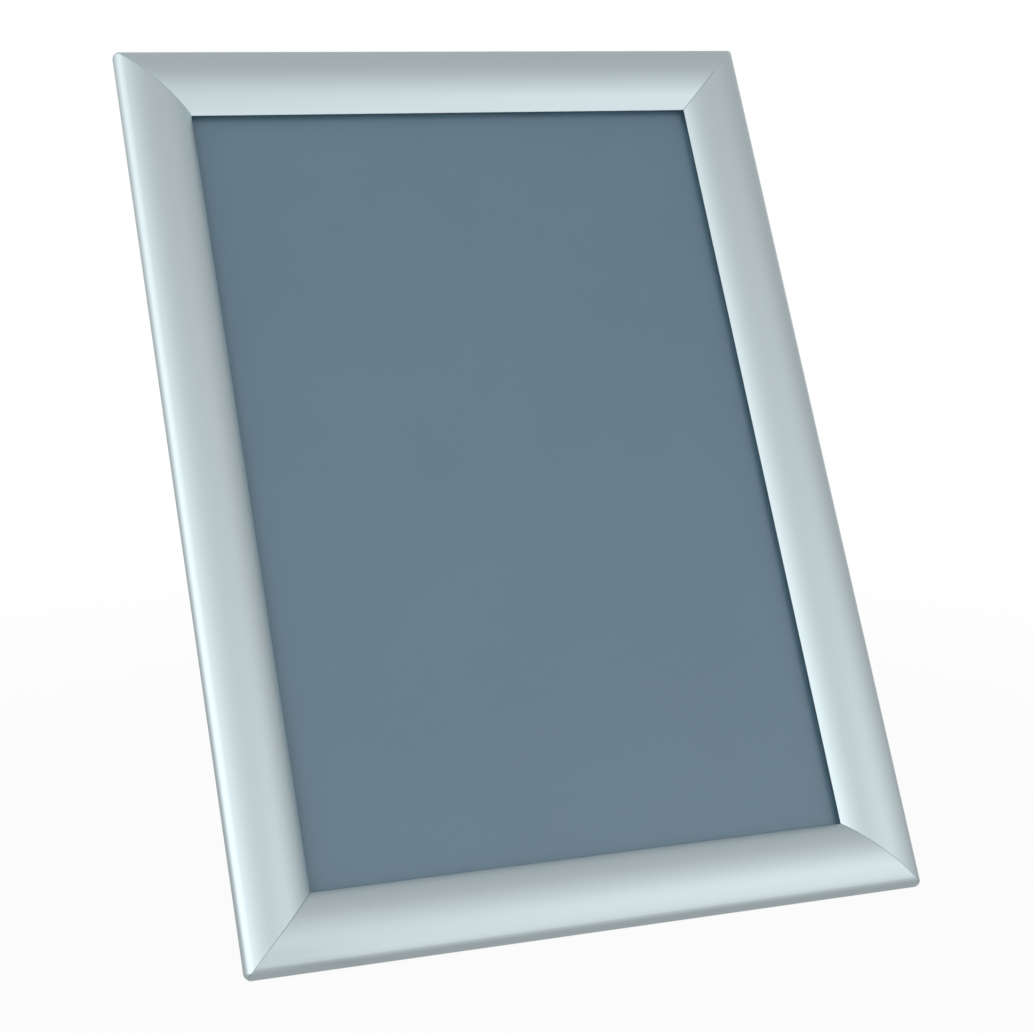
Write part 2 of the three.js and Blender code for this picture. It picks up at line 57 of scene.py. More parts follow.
SIDES = {  # turn about the frame's centre, length of the rail, centre of the frame to the rail's outer face
    "bottom": (0, 0.240, 0.1635),
    "right": (90, 0.327, 0.120),
    "top": (180, 0.240, 0.1635),
    "left": (270, 0.327, 0.120),
}
BACK_RAIL_EDGE = 0.00012
SHARP_EDGE = math.radians(33)  # sharper edges than this are broken
FLAT_FACE = math.radians(0.6)  # triangles that differ by less are one face
SAME_POINT = 2e-6

forward = Vector((0, -math.cos(LEAN), math.sin(LEAN)))
upward = Vector((0, math.sin(LEAN), math.cos(LEAN)))
panel_low, panel_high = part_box("back_panel")
back_middle = (panel_low + panel_high) / 2 - forward * PANEL_MIDDLE
leaning = Matrix((Vector((1, 0, 0)), upward, forward)).transposed().to_4x4()
stand = Matrix.Translation(back_middle) @ leaning


def rail_place(side):
    """From a rail's own axes, along it, inwards from its outer face and forwards, to the part's frame."""
    turn, _, outer_face = SIDES[side]
    return stand @ Matrix.Rotation(math.radians(turn), 4, "Z") @ Matrix.Translation((0, -outer_face, 0))


def mark_rail(mesh, side):
    """Keeps each point's place in the rail's own axes, for grain that runs along the rail."""
    back = rail_place(side).inverted()
    marks = mesh.attributes.new("rail", "FLOAT_VECTOR", "POINT")
    marks.data.foreach_set("vector", [value for point in mesh.vertices for value in back @ point.co])


def bake(piece):
    """Turns a piece and its modifiers into a plain mesh."""
    bpy.context.view_layer.update()
    depsgraph = bpy.context.evaluated_depsgraph_get()
    mesh = bpy.data.meshes.new_from_object(
        piece.evaluated_get(depsgraph), preserve_all_data_layers=True, depsgraph=depsgraph
    )
    piece.modifiers.clear()
    mesh.name = piece.name
    piece.data = mesh


def break_edges(piece, width):
    """A small round on every sharp edge, with the flat faces kept flat."""
    for face in piece.data.polygons:
        face.use_smooth = True
    edge = piece.modifiers.new("edge", "BEVEL")
    edge.width = width
    edge.segments = 3
    edge.limit_method = "ANGLE"
    edge.angle_limit = SHARP_EDGE
    edge.use_clamp_overlap = False
    flats = piece.modifiers.new("flats", "WEIGHTED_NORMAL")
    flats.keep_sharp = True
    bake(piece)


def new_piece(name, mesh, material):
    piece = bpy.data.objects.new(name, mesh)
    bpy.context.scene.collection.objects.link(piece)
    mesh.materials.clear()
    mesh.materials.append(material)
    return piece


def dressed_copy(name, node, edge, material):
    """The solid of a node with its triangles joined to whole faces and its edges broken."""
    mesh = nodes[node].data.copy()
    solid = bmesh.new()
    solid.from_mesh(mesh)
    bmesh.ops.remove_doubles(solid, verts=solid.verts, dist=SAME_POINT)
    bmesh.ops.dissolve_limit(solid, angle_limit=FLAT_FACE, verts=solid.verts, edges=solid.edges)
    solid.to_mesh(mesh)
    solid.free()
    piece = new_piece(name, mesh, material)
    break_edges(piece, edge)
    return piece


def join(tree, value, socket):
    """Wires an output to a socket, or sets the socket to a plain value."""
    if isinstance(value, bpy.types.NodeSocket):
        tree.links.new(value, socket)
    else:
        socket.default_value = value


def calc(tree, operation, first, second=0.0):
    node = tree.nodes.new("ShaderNodeMath")
    node.operation = operation
    join(tree, first, node.inputs[0])
    join(tree, second, node.inputs[1])
    return node.outputs[0]


# Soft patches and fine grain, from 0 to 1, for the tone and the dullness of a surface.
uneven = bpy.data.node_groups.new("uneven_surface", "ShaderNodeTree")
uneven.interface.new_socket("Place", in_out="INPUT", socket_type="NodeSocketVector")
uneven.interface.new_socket("Patch Size", in_out="INPUT", socket_type="NodeSocketFloat")
uneven.interface.new_socket("Grain Size", in_out="INPUT", socket_type="NodeSocketFloat")
uneven.interface.new_socket("Patches", in_out="OUTPUT", socket_type="NodeSocketFloat")
uneven.interface.new_socket("Grain", in_out="OUTPUT", socket_type="NodeSocketFloat")
uneven_in = uneven.nodes.new("NodeGroupInput")
uneven_out = uneven.nodes.new("NodeGroupOutput")
for name, detail in (("Patch", 3.0), ("Grain", 5.0)):
    noise = uneven.nodes.new("ShaderNodeTexNoise")
    join(uneven, uneven_in.outputs["Place"], noise.inputs["Vector"])
    join(uneven, calc(uneven, "DIVIDE", 1.0, uneven_in.outputs[name + " Size"]), noise.inputs["Scale"])
    noise.inputs["Detail"].default_value = detail
    noise.inputs["Roughness"].default_value = 0.55
    join(uneven, noise.outputs["Fac"], uneven_out.inputs["Patches" if name == "Patch" else "Grain"])


def surface(name, tones, dullness, patch, grain, relief, along_rail=None):
    """A material whose tone follows soft patches and whose dullness and relief follow its grain.

    Sizes are in metres. On a rail the grain is stretched along it.
    """
    material = bpy.data.materials.new(name)
    material.use_nodes = True
    tree = material.node_tree
    shader = tree.nodes["Principled BSDF"]
    if along_rail:
        place = tree.nodes.new("ShaderNodeAttribute")
        place.attribute_name = "rail"
        stretch = tree.nodes.new("ShaderNodeMapping")
        stretch.inputs["Scale"].default_value = along_rail
        join(tree, place.outputs["Vector"], stretch.inputs["Vector"])
        place = stretch.outputs["Vector"]
    else:
        place = tree.nodes.new("ShaderNodeTexCoord").outputs["Object"]
    look = tree.nodes.new("ShaderNodeGroup")
    look.node_tree = uneven
    join(tree, place, look.inputs["Place"])
    look.inputs["Patch Size"].default_value = patch
    look.inputs["Grain Size"].default_value = grain
    tone = tree.nodes.new("ShaderNodeValToRGB")
    tone.color_ramp.elements[0].position = 0.3
    tone.color_ramp.elements[0].color = (*tones[0], 1)
    tone.color_ramp.elements[1].position = 0.7
    tone.color_ramp.elements[1].color = (*tones[1], 1)
    join(tree, look.outputs["Patches"], tone.inputs["Fac"])
    join(tree, tone.outputs["Color"], shader.inputs["Base Color"])
    spread = tree.nodes.new("ShaderNodeMapRange")
    spread.inputs["From Min"].default_value = 0.25
    spread.inputs["From Max"].default_value = 0.75
    spread.inputs["To Min"].default_value = dullness[0]
    spread.inputs["To Max"].default_value = dullness[1]
    join(tree, look.outputs["Grain"], spread.inputs["Value"])
    join(tree, spread.outputs["Result"], shader.inputs["Roughness"])
    bump = tree.nodes.new("ShaderNodeBump")
    bump.inputs["Strength"].default_value = 1.0
    bump.inputs["Distance"].default_value = relief
    join(tree, look.outputs["Grain"], bump.inputs["Height"])
    join(tree, bump.outputs["Normal"], shader.inputs["Normal"])
    return material, shader


mill_aluminium, shader = surface(
    "mill_aluminium",
    tones=((0.50, 0.54, 0.55), (0.58, 0.62, 0.63)),
    dullness=(0.38, 0.5),
    patch=0.02,
    grain=0.0007,
    relief=0.000002,
    along_rail=(0.06, 1, 1),
)
shader.inputs["Metallic"].default_value = 1.0
for side in SIDES:
    rail = dressed_copy("back_rail_" + side, "base_rail_" + side, BACK_RAIL_EDGE, mill_aluminium)
    mark_rail(rail.data, side)
    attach(rail, "frame")
    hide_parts("base_rail_" + side)

# Corner keys
# Flat angles punched from zinc-plated steel strip. Their legs slide into the channels of two back rails and
# hold the mitre shut from inside.
KEY_EDGE = 0.00015

zinc_plate, shader = surface(
    "zinc_plate",
    tones=((0.42, 0.43, 0.44), (0.60, 0.61, 0.60)),
    dullness=(0.28, 0.46),
    patch=0.006,
    grain=0.0006,
    relief=0.000003,
)
shader.inputs["Metallic"].default_value = 1.0
for i in range(1, 5):
    key = dressed_copy(f"corner_angle_{i}", f"corner_key_{i}", KEY_EDGE, zinc_plate)
    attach(key, "frame")
    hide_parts(f"corner_key_{i}")

# Back panel
# A cut sheet of blue-grey polystyrene, 1.2 mm thick, with a fine matt skin. It lies loose on the ledge of
# the back rails.
panel_skin, _ = surface(
    "panel_skin",
    tones=((0.114, 0.213, 0.290), (0.120, 0.223, 0.302)),
    dullness=(0.5, 0.62),
    patch=0.05,
    grain=0.0004,
    relief=0.0000012,
)
nodes["back_panel"].data.materials.clear()
nodes["back_panel"].data.materials.append(panel_skin)

# Cover sheet
# A clear plastic sheet, 0.5 mm thick, that lies loose over the panel, with room for a poster between them.
# The front rails press on its edge. Each face mirrors a few percent of the light as a thin film would, and
# lets the rest through.
MIRRORED_SHARE = 0.03

clear_sheet, shader = surface(
    "clear_sheet",
    tones=((0.96, 0.975, 0.98), (0.98, 0.99, 0.99)),
    dullness=(0.10, 0.14),
    patch=0.06,
    grain=0.0004,
    relief=0.0000003,
)
shader.inputs["Metallic"].default_value = 1.0
shader.inputs["Alpha"].default_value = MIRRORED_SHARE
nodes["cover_sheet"].data.materials.clear()
nodes["cover_sheet"].data.materials.append(clear_sheet)

# Snap springs
# Two strips of blued spring steel on each side, bowed between the fork of the back rail and the shelf of the
# front rail. They push the front rail shut, or open once it is past the middle.
SPRING_FOOT = (5.45, 5.35)  # mm, inwards from the rail's outer face and forwards from its back
SPRING_TIP = (12.15, 4.55)
SPRING_HALF_BOW = math.radians(86)
SPRING_WIDTH = 0.018
SPRING_THICKNESS = 0.0004
BOW_POINTS = 33
SPRING_PITCH = {"bottom": 0.100, "right": 0.150, "top": 0.100, "left": 0.150}


def new_tree(name, inputs):
    tree = bpy.data.node_groups.new(name, "GeometryNodeTree")
    for label, kind in inputs:
        tree.interface.new_socket(label, in_out="INPUT", socket_type=kind)
    tree.interface.new_socket("Geometry", in_out="OUTPUT", socket_type="NodeSocketGeometry")
    return tree, tree.nodes.new("NodeGroupInput").outputs, tree.nodes.new("NodeGroupOutput").inputs


def grow(piece, tree, **values):
    """Runs a tree on a piece and keeps its mesh. Inputs are named as in the tree, with _ for a space."""
    grower = piece.modifiers.new(tree.name, "NODES")
    grower.node_group = tree
    for socket in tree.interface.items_tree:
        key = socket.name.replace(" ", "_")
        if socket.in_out == "INPUT" and key in values:
            grower[socket.identifier] = values[key]
    bake(piece)


def stand_on_rail(tree, mesh):
    """Turns what was drawn in a section's plane so that the section stands across the rail."""
    place = tree.nodes.new("ShaderNodeSeparateXYZ")
    join(tree, tree.nodes.new("GeometryNodeInputPosition").outputs[0], place.inputs[0])
    turned = tree.nodes.new("ShaderNodeCombineXYZ")
    join(tree, place.outputs["Z"], turned.inputs["X"])
    join(tree, place.outputs["X"], turned.inputs["Y"])
    join(tree, place.outputs["Y"], turned.inputs["Z"])
    moved = tree.nodes.new("GeometryNodeSetPosition")
    join(tree, mesh, moved.inputs["Geometry"])
    join(tree, turned.outputs[0], moved.inputs["Position"])
    return moved.outputs[0]


strip_row, given, result = new_tree(
    "bowed_strip_row",
    (
        ("Pitch", "NodeSocketFloat"),
        ("Strip Width", "NodeSocketFloat"),
        ("Strip Thickness", "NodeSocketFloat"),
        ("Bow Centre", "NodeSocketVector"),
        ("Bow Radius", "NodeSocketFloat"),
        ("Bow Start", "NodeSocketFloat"),
        ("Bow Sweep", "NodeSocketFloat"),
        ("Finish", "NodeSocketMaterial"),
    ),
)
bow = strip_row.nodes.new("GeometryNodeCurveArc")
bow.inputs["Resolution"].default_value = BOW_POINTS
join(strip_row, given["Bow Radius"], bow.inputs["Radius"])
join(strip_row, given["Bow Start"], bow.inputs["Start Angle"])
join(strip_row, given["Bow Sweep"], bow.inputs["Sweep Angle"])
section = strip_row.nodes.new("GeometryNodeCurvePrimitiveQuadrilateral")
join(strip_row, given["Strip Thickness"], section.inputs["Width"])
join(strip_row, given["Strip Width"], section.inputs["Height"])
strip = strip_row.nodes.new("GeometryNodeCurveToMesh")
join(strip_row, bow.outputs["Curve"], strip.inputs["Curve"])
join(strip_row, section.outputs["Curve"], strip.inputs["Profile Curve"])
strip.inputs["Fill Caps"].default_value = True
half_back = strip_row.nodes.new("ShaderNodeCombineXYZ")
join(strip_row, calc(strip_row, "MULTIPLY", given["Pitch"], -0.5), half_back.inputs["Z"])
step = strip_row.nodes.new("ShaderNodeCombineXYZ")
join(strip_row, given["Pitch"], step.inputs["Z"])
first_strip = strip_row.nodes.new("ShaderNodeVectorMath")
join(strip_row, half_back.outputs[0], first_strip.inputs[0])
join(strip_row, given["Bow Centre"], first_strip.inputs[1])
row = strip_row.nodes.new("GeometryNodeMeshLine")
row.inputs["Count"].default_value = 2
join(strip_row, first_strip.outputs[0], row.inputs["Start Location"])
join(strip_row, step.outputs[0], row.inputs["Offset"])
strips = strip_row.nodes.new("GeometryNodeInstanceOnPoints")
join(strip_row, row.outputs["Mesh"], strips.inputs["Points"])
join(strip_row, strip.outputs["Mesh"], strips.inputs["Instance"])
plain = strip_row.nodes.new("GeometryNodeRealizeInstances")
join(strip_row, strips.outputs["Instances"], plain.inputs["Geometry"])
coat = strip_row.nodes.new("GeometryNodeSetMaterial")
join(strip_row, stand_on_rail(strip_row, plain.outputs[0]), coat.inputs["Geometry"])
join(strip_row, given["Finish"], coat.inputs["Material"])
join(strip_row, coat.outputs[0], result["Geometry"])

blued_steel, shader = surface(
    "blued_steel",
    tones=((0.20, 0.23, 0.27), (0.30, 0.33, 0.36)),
    dullness=(0.22, 0.36),
    patch=0.004,
    grain=0.0005,
    relief=0.000001,
)
shader.inputs["Metallic"].default_value = 1.0
spring_foot = Vector(SPRING_FOOT) / 1000
spring_tip = Vector(SPRING_TIP) / 1000
chord = spring_tip - spring_foot
slope = math.atan2(chord.y, chord.x)
bow_radius = chord.length / 2 / math.sin(SPRING_HALF_BOW)
to_centre = slope - math.pi / 2 + SPRING_HALF_BOW
bow_centre = spring_foot + bow_radius * Vector((math.cos(to_centre), math.sin(to_centre)))
for side in SIDES:
    springs = new_piece("bowed_springs_" + side, bpy.data.meshes.new("bowed_springs"), blued_steel)
    grow(
        springs,
        strip_row,
        Pitch=SPRING_PITCH[side],
        Strip_Width=SPRING_WIDTH,
        Strip_Thickness=SPRING_THICKNESS,
        Bow_Centre=(*bow_centre, 0.0),
        Bow_Radius=bow_radius,
        Bow_Start=slope + math.pi / 2 + SPRING_HALF_BOW,
        Bow_Sweep=-2 * SPRING_HALF_BOW,
        Finish=blued_steel,
    )
    place = rail_place(side)
    springs.data.transform(place)
    for face in springs.data.polygons:
        face.use_smooth = False
    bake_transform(springs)
    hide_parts(f"snap_spring_{side}_1", f"snap_spring_{side}_2")

# Front rails
# Four rounded aluminium extrusions, satin anodised, that turn on a bead along their outer edge and close
# over the sheets. They are mitred to a hairline, and the frame's outer corners are rounded over.
RAIL_WIDTH = 25.0  # mm, like the sizes that follow up to the hairline
RAIL_DEPTH = 11.0
CROWN_FROM_LIP = 13.7
RAIL_WALL = 1.3
WALL_FOOT = 4.75
SHOULDER = 4.5
LIP_ROUND = 0.2
LIP_TOP = 5.55
PRESS_FOOT = 3.65
PRESS_RIB = (21.6, 22.8)
HINGE = (2.75, 3.0)
BEAD = 1.13
NECK = (98, 132)  # degrees round the bead
NECK_KNEE = 2.35
NECK_ROOT = 160
SPRING_RIB = (12.5, 13.5)
SHELF = (11.2, 3.8, 4.4)  # outer edge, underside, top
CORNER_ROUND = 2.0
CORNER_STEPS = 8  # from a rail's straight to the mitre
FOOT_NICK = (1.3, 5.25)  # inner and front bound of what is left straight at the wall's foot
BEAD_SLACK = 1.05  # times the bead's radius, what counts as the bead
BEAD_TRIM = 1.3  # times the bead's radius, beyond the hinge, where the bead ends
MITRE_HAIRLINE = 0.05
FRONT_RAIL_EDGE = 0.0001  # metres

drop = RAIL_DEPTH - LIP_TOP
crown_radius = (CROWN_FROM_LIP**2 + drop**2) / (2 * drop)
crown = (RAIL_WIDTH - CROWN_FROM_LIP, RAIL_DEPTH - crown_radius)


def arc(centre, radius, start, finish, step):
    """Points along an arc, in degrees, both ends among them."""
    count = max(1, math.ceil(abs(finish - start) / step))
    angles = [math.radians(start + (finish - start) * i / count) for i in range(count + 1)]
    return [(centre[0] + radius * math.cos(a), centre[1] + radius * math.sin(a)) for a in angles]


def under_crown(inwards, radius):
    """Centre of a smaller arc that runs into the crown from inside, and the angle at which it does."""
    rise = math.sqrt((crown_radius - radius) ** 2 - (inwards - crown[0]) ** 2)
    return (inwards, crown[1] + rise), math.degrees(math.atan2(rise, inwards - crown[0]))


def front_section():
    """The outline of the extrusion, inwards from the outer face and forwards from the back."""
    shoulder, shoulder_end = under_crown(SHOULDER, SHOULDER)
    lip, lip_start = under_crown(RAIL_WIDTH - LIP_ROUND, LIP_ROUND)
    inside = crown_radius - RAIL_WALL
    lip_end = lip_start - math.degrees(math.asin(LIP_ROUND / inside))
    knee = math.radians(NECK[0])
    neck_foot = HINGE[0] - (WALL_FOOT - HINGE[1]) / math.tan(math.radians(180 - NECK[1]))

    def turn_at(inwards):
        return math.degrees(math.acos((inwards - crown[0]) / inside))

    outline = [
        (0, WALL_FOOT),
        *arc(shoulder, SHOULDER, 180, shoulder_end, step=8)[1:],
        *arc(crown, crown_radius, shoulder_end, lip_start, step=1.2)[1:],
        *arc(lip, LIP_ROUND, lip_start, lip_start - 90, step=12)[1:],
        *arc(crown, inside, lip_end, turn_at(PRESS_RIB[1]), step=3),
        (PRESS_RIB[1], PRESS_FOOT),
        (PRESS_RIB[0], PRESS_FOOT),
        *arc(crown, inside, turn_at(PRESS_RIB[0]), turn_at(SPRING_RIB[1]), step=3),
        (SPRING_RIB[1], SHELF[1]),
        (SHELF[0], SHELF[1]),
        (SHELF[0], SHELF[2]),
        (SPRING_RIB[0], SHELF[2]),
        *arc(crown, inside, turn_at(SPRING_RIB[0]), shoulder_end, step=3),
        *arc(shoulder, SHOULDER - RAIL_WALL, shoulder_end, NECK_ROOT, step=5)[1:],
        (HINGE[0] + NECK_KNEE * math.cos(knee), HINGE[1] + NECK_KNEE * math.sin(knee)),
        *arc(HINGE, BEAD, NECK[0], NECK[1] - 360, step=10),
        (neck_foot, WALL_FOOT),
    ]
    return outline[::-1]


def section_mesh(name, outline):
    """One flat face with a section's outline."""
    mesh = bpy.data.meshes.new(name)
    mesh.from_pydata([(u / 1000, h / 1000, 0) for u, h in outline], [], [range(len(outline))])
    return mesh


# The section is drawn out ring by ring. Rings 0 to CORNER_STEPS turn through the corner at one end, the rest
# at the other. What lies deeper than the corner's centre has no turn, so there the rings fall together and
# are merged. The bead is cut short and the wall's foot has no turn, so that neighbours clear each other.
mitred_rail, given, result = new_tree(
    "mitred_rail",
    (
        ("Geometry", "NodeSocketGeometry"),
        ("Length", "NodeSocketFloat"),
        ("Hairline", "NodeSocketFloat"),
        ("Corner Round", "NodeSocketFloat"),
        ("Hinge", "NodeSocketVector"),
        ("Bead", "NodeSocketFloat"),
        ("Foot Nick", "NodeSocketVector"),
        ("Finish", "NodeSocketMaterial"),
    ),
)
ahead = mitred_rail.nodes.new("ShaderNodeCombineXYZ")
ahead.inputs["Z"].default_value = 1.0
rings = 2 * CORNER_STEPS + 1
drawn = given["Geometry"]
front_face = None
for ring in range(rings):
    draw = mitred_rail.nodes.new("GeometryNodeExtrudeMesh")
    draw.inputs["Individual"].default_value = False
    join(mitred_rail, drawn, draw.inputs["Mesh"])
    join(mitred_rail, ahead.outputs[0], draw.inputs["Offset"])
    if front_face:
        join(mitred_rail, front_face, draw.inputs["Selection"])
    drawn = draw.outputs["Mesh"]
    front_face = draw.outputs["Top"]
back_face = mitred_rail.nodes.new("GeometryNodeFlipFaces")
join(mitred_rail, given["Geometry"], back_face.inputs["Mesh"])
both = mitred_rail.nodes.new("GeometryNodeJoinGeometry")
join(mitred_rail, back_face.outputs[0], both.inputs[0])
join(mitred_rail, drawn, both.inputs[0])
spot = mitred_rail.nodes.new("ShaderNodeSeparateXYZ")
join(mitred_rail, mitred_rail.nodes.new("GeometryNodeInputPosition").outputs[0], spot.inputs[0])
inwards = spot.outputs["X"]
from_hinge = mitred_rail.nodes.new("ShaderNodeVectorMath")
from_hinge.operation = "DISTANCE"
in_section = mitred_rail.nodes.new("ShaderNodeCombineXYZ")
join(mitred_rail, inwards, in_section.inputs["X"])
join(mitred_rail, spot.outputs["Y"], in_section.inputs["Y"])
join(mitred_rail, in_section.outputs[0], from_hinge.inputs[0])
join(mitred_rail, given["Hinge"], from_hinge.inputs[1])
bead_edge = calc(mitred_rail, "MULTIPLY", given["Bead"], BEAD_SLACK)
on_bead = calc(mitred_rail, "LESS_THAN", from_hinge.outputs["Value"], bead_edge)
nick = mitred_rail.nodes.new("ShaderNodeSeparateXYZ")
join(mitred_rail, given["Foot Nick"], nick.inputs[0])
on_wall = calc(mitred_rail, "LESS_THAN", inwards, nick.outputs["X"])
on_foot = calc(mitred_rail, "LESS_THAN", spot.outputs["Y"], nick.outputs["Y"])
straight = calc(mitred_rail, "MAXIMUM", on_bead, calc(mitred_rail, "MULTIPLY", on_wall, on_foot))
from_middle = calc(mitred_rail, "SUBTRACT", spot.outputs["Z"], rings / 2)
turned = calc(mitred_rail, "SUBTRACT", calc(mitred_rail, "ABSOLUTE", from_middle), 0.5)
turned = calc(mitred_rail, "MULTIPLY", turned, math.pi / 4 / CORNER_STEPS)
turned = calc(mitred_rail, "MULTIPLY", turned, calc(mitred_rail, "SUBTRACT", 1.0, straight))
swing = calc(mitred_rail, "SUBTRACT", given["Corner Round"], inwards)
swing = calc(mitred_rail, "MULTIPLY", swing, calc(mitred_rail, "GREATER_THAN", swing, FRONT_RAIL_EDGE))
deep = calc(mitred_rail, "ADD", inwards, swing)
sideways = calc(mitred_rail, "MULTIPLY", swing, calc(mitred_rail, "SINE", turned))
outwards = calc(mitred_rail, "MULTIPLY", swing, calc(mitred_rail, "COSINE", turned))
end = calc(mitred_rail, "MULTIPLY", given["Length"], 0.5)
gap = calc(mitred_rail, "MULTIPLY", given["Hairline"], math.sqrt(0.5))
mitre = calc(mitred_rail, "SUBTRACT", end, gap)
reach = calc(mitred_rail, "ADD", calc(mitred_rail, "SUBTRACT", mitre, deep), sideways)
hinge_spot = mitred_rail.nodes.new("ShaderNodeSeparateXYZ")
join(mitred_rail, given["Hinge"], hinge_spot.inputs[0])
trim = calc(mitred_rail, "MULTIPLY", given["Bead"], BEAD_TRIM)
trim = calc(mitred_rail, "ADD", hinge_spot.outputs["X"], trim)
trim = calc(mitred_rail, "SUBTRACT", end, calc(mitred_rail, "MULTIPLY", trim, on_bead))
reach = calc(mitred_rail, "MINIMUM", reach, trim)
along = mitred_rail.nodes.new("ShaderNodeCombineXYZ")
reach = calc(mitred_rail, "MULTIPLY", reach, calc(mitred_rail, "SIGN", from_middle))
join(mitred_rail, reach, along.inputs["X"])
join(mitred_rail, calc(mitred_rail, "SUBTRACT", deep, outwards), along.inputs["Y"])
join(mitred_rail, spot.outputs["Y"], along.inputs["Z"])
laid = mitred_rail.nodes.new("GeometryNodeSetPosition")
join(mitred_rail, both.outputs[0], laid.inputs["Geometry"])
join(mitred_rail, along.outputs[0], laid.inputs["Position"])
closed = mitred_rail.nodes.new("GeometryNodeMergeByDistance")
closed.inputs["Distance"].default_value = 1e-6
join(mitred_rail, laid.outputs[0], closed.inputs["Geometry"])
plain = mitred_rail.nodes.new("GeometryNodeRealizeInstances")
join(mitred_rail, closed.outputs[0], plain.inputs["Geometry"])
coat = mitred_rail.nodes.new("GeometryNodeSetMaterial")
join(mitred_rail, plain.outputs[0], coat.inputs["Geometry"])
join(mitred_rail, given["Finish"], coat.inputs["Material"])
join(mitred_rail, coat.outputs[0], result["Geometry"])

satin_anodised, shader = surface(
    "satin_anodised",
    tones=((0.671, 0.775, 0.80), (0.691, 0.795, 0.82)),
    dullness=(0.33, 0.37),
    patch=0.02,
    grain=0.0006,
    relief=0.0000006,
    along_rail=(0.02, 1, 1),
)
shader.inputs["Metallic"].default_value = 1.0
for side, (_, length, _) in SIDES.items():
    rail = new_piece("front_rail_" + side, section_mesh("front_section", front_section()), satin_anodised)
    grow(
        rail,
        mitred_rail,
        Length=length,
        Hairline=MITRE_HAIRLINE / 1000,
        Corner_Round=CORNER_ROUND / 1000,
        Hinge=(HINGE[0] / 1000, HINGE[1] / 1000, 0.0),
        Bead=BEAD / 1000,
        Foot_Nick=(FOOT_NICK[0] / 1000, FOOT_NICK[1] / 1000, 0.0),
        Finish=satin_anodised,
    )
    break_edges(rail, FRONT_RAIL_EDGE)
    rail.data.transform(rail_place(side))
    mark_rail(rail.data, side)
    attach(rail, side + "_snap_rail")
    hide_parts("snap_rail_" + side)

# Strut tape
# A pad of white foam tape, cut from the roll and sticky on both faces. It holds the strut's plate on the
# back panel.
foam, _ = surface(
    "foam_tape",
    tones=((0.72, 0.72, 0.68), (0.80, 0.80, 0.76)),
    dullness=(0.8, 0.95),
    patch=0.003,
    grain=0.0003,
    relief=0.00006,
)
nodes["strut_tape"].data.materials.clear()
nodes["strut_tape"].data.materials.append(foam)

# Strut plate and leg
# The plate with its two ears, and the tapered leg with its bays and its heel, are injection moulded in dark
# grey plastic with a fine texture. The leg turns between the ears, and its heel stops it on the plate.
MOULDED_EDGE = 0.0003

moulded, _ = surface(
    "dark_moulding",
    tones=((0.042, 0.048, 0.053), (0.052, 0.058, 0.063)),
    dullness=(0.42, 0.58),
    patch=0.03,
    grain=0.0004,
    relief=0.000015,
)
for name, node, body in (("easel_plate", "strut_plate", "frame"), ("easel_leg", "strut_leg", "strut")):
    moulding = dressed_copy(name, node, MOULDED_EDGE, moulded)
    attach(moulding, body)
    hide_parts(node)

# Strut pin
# A turned steel pin, zinc plated, with a head on one side. It passes through both ears and the leg's barrel,
# and stays with the ears.
PIN_EDGE = 0.00012

pin = dressed_copy("easel_pin", "strut_pin", PIN_EDGE, zinc_plate)
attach(pin, "frame")
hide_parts("strut_pin")

# Strut foot
# A pad of soft black rubber, cut from sheet and bonded on under the leg, so that the frame doesn't slide on
# the table.
FOOT_EDGE = 0.0003

rubber, _ = surface(
    "black_rubber",
    tones=((0.018, 0.018, 0.019), (0.030, 0.030, 0.031)),
    dullness=(0.7, 0.9),
    patch=0.004,
    grain=0.0004,
    relief=0.00002,
)
foot = dressed_copy("easel_foot", "strut_foot", FOOT_EDGE, rubber)
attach(foot, "strut")
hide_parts("strut_foot")

# Table and backdrop
# A pale seamless table. The camera sees it near white, with the object's faint shadow. What the metal mirrors
# of it glows, bright in front of the frame, and dim under and behind it as a painted shadow.
FLOOR_SIZE = 12.0
FLOOR_GREY = 0.5
FLOOR_WHITE = 0.95  # share of the table that is plain white to the camera near the frame
SHADOW_FADE = (0.15, 0.6)  # distance over which the rest turns white
GLOW_FAR = (-0.122, 1.1)  # where along the depth, how bright in the metal
# painted shadow: how dim the mirrored table is close under the frame and behind it
GLOW_NEAR_PAINTED_SHADOW = (-0.086, 0.48)

floor_mesh = bpy.data.meshes.new("table")
half = FLOOR_SIZE / 2
floor_corners = [(-half, -half, 0), (half, -half, 0), (half, half, 0), (-half, half, 0)]
floor_mesh.from_pydata(floor_corners, [], [(0, 1, 2, 3)])
floor_paper = bpy.data.materials.new("pale_table")
floor_paper.use_nodes = True
tree = floor_paper.node_tree
tree.nodes.clear()
matt = tree.nodes.new("ShaderNodeBsdfDiffuse")
matt.inputs["Color"].default_value = (FLOOR_GREY, FLOOR_GREY, FLOOR_GREY, 1)
white = tree.nodes.new("ShaderNodeEmission")
depth = tree.nodes.new("ShaderNodeSeparateXYZ")
coords = tree.nodes.new("ShaderNodeTexCoord")
join(tree, coords.outputs["Object"], depth.inputs[0])
